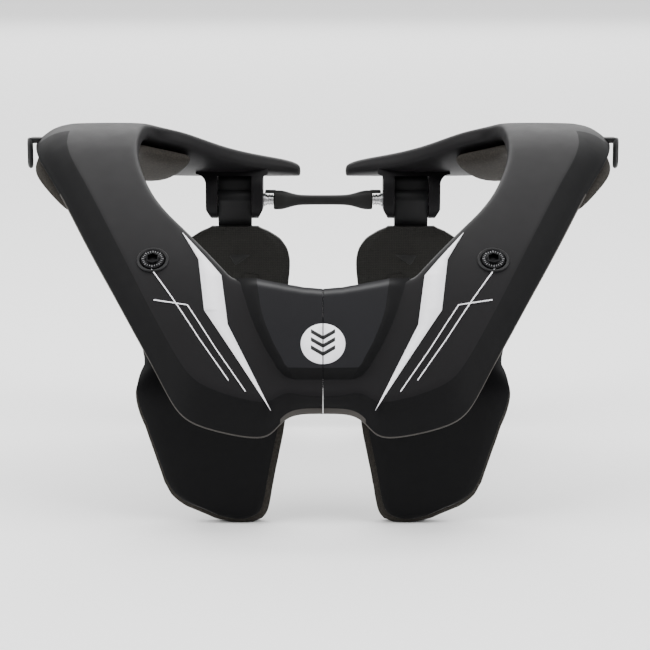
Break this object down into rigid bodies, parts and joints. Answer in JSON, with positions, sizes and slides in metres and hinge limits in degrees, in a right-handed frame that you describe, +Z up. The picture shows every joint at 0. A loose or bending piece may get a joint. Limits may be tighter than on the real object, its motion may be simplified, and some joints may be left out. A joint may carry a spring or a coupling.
{
  "type": "motocross neck brace",
  "caption": "Motocross neck brace with two arched moulded halves, chest plates, hinged back supports and a rubber bar between the rear brackets.",
  "frame": {"origin": "middle of the outer box, on the floor", "axes": "+X to the brace's right as the picture shows it, +Y towards the wearer's back, +Z up"},
  "size_m": [0.3334, 0.264, 0.1914],
  "materials": {
    "frame_shell": "dark grey moulded composite, satin, with black bevelled edges",
    "chest_shell": "near black moulded plastic, satin",
    "foam": "dark closed cell foam, dull",
    "pad_rubber": "dark grey rubber with a fine diamond texture",
    "bar_rubber": "black rubber, dull",
    "black_steel": "black oxide steel, satin",
    "bright_steel": "polished steel",
    "black_plastic": "black moulded plastic, satin"
  },
  "bodies": {
    "frame": {"frame_left": "frame_shell", "frame_right": "frame_shell", "chest_plate_left": "chest_shell", "chest_plate_right": "chest_shell", "chest_pad_left": "foam", "chest_pad_right": "foam", "shoulder_pad_left": "foam", "shoulder_pad_right": "foam", "pivot_pin_left": "bright_steel", "pivot_pin_right": "bright_steel", "mount_bolt_left": "black_steel", "mount_bolt_right": "black_steel", "bolt_cup_left": "black_plastic", "bolt_cup_right": "black_plastic", "strap_loop_left": "black_plastic", "strap_loop_right": "black_plastic", "front_clasp": "black_plastic", "flex_bar": "bar_rubber"},
    "back_support_left": {"back_support_left": "black_plastic", "back_pad_left": "pad_rubber"},
    "back_support_right": {"back_support_right": "black_plastic", "back_pad_right": "pad_rubber"}
  },
  "joints": [
    {"name": "left_back_hinge", "type": "hinge", "parent": "frame", "child": "back_support_left", "pos_m": [-0.053, 0.10949, 0.14002], "axis": [1, 0, 0], "range_deg": [-25, 12]},
    {"name": "right_back_hinge", "type": "hinge", "parent": "frame", "child": "back_support_right", "pos_m": [0.053, 0.10949, 0.14002], "axis": [1, 0, 0], "range_deg": [-25, 12]}
  ]
}
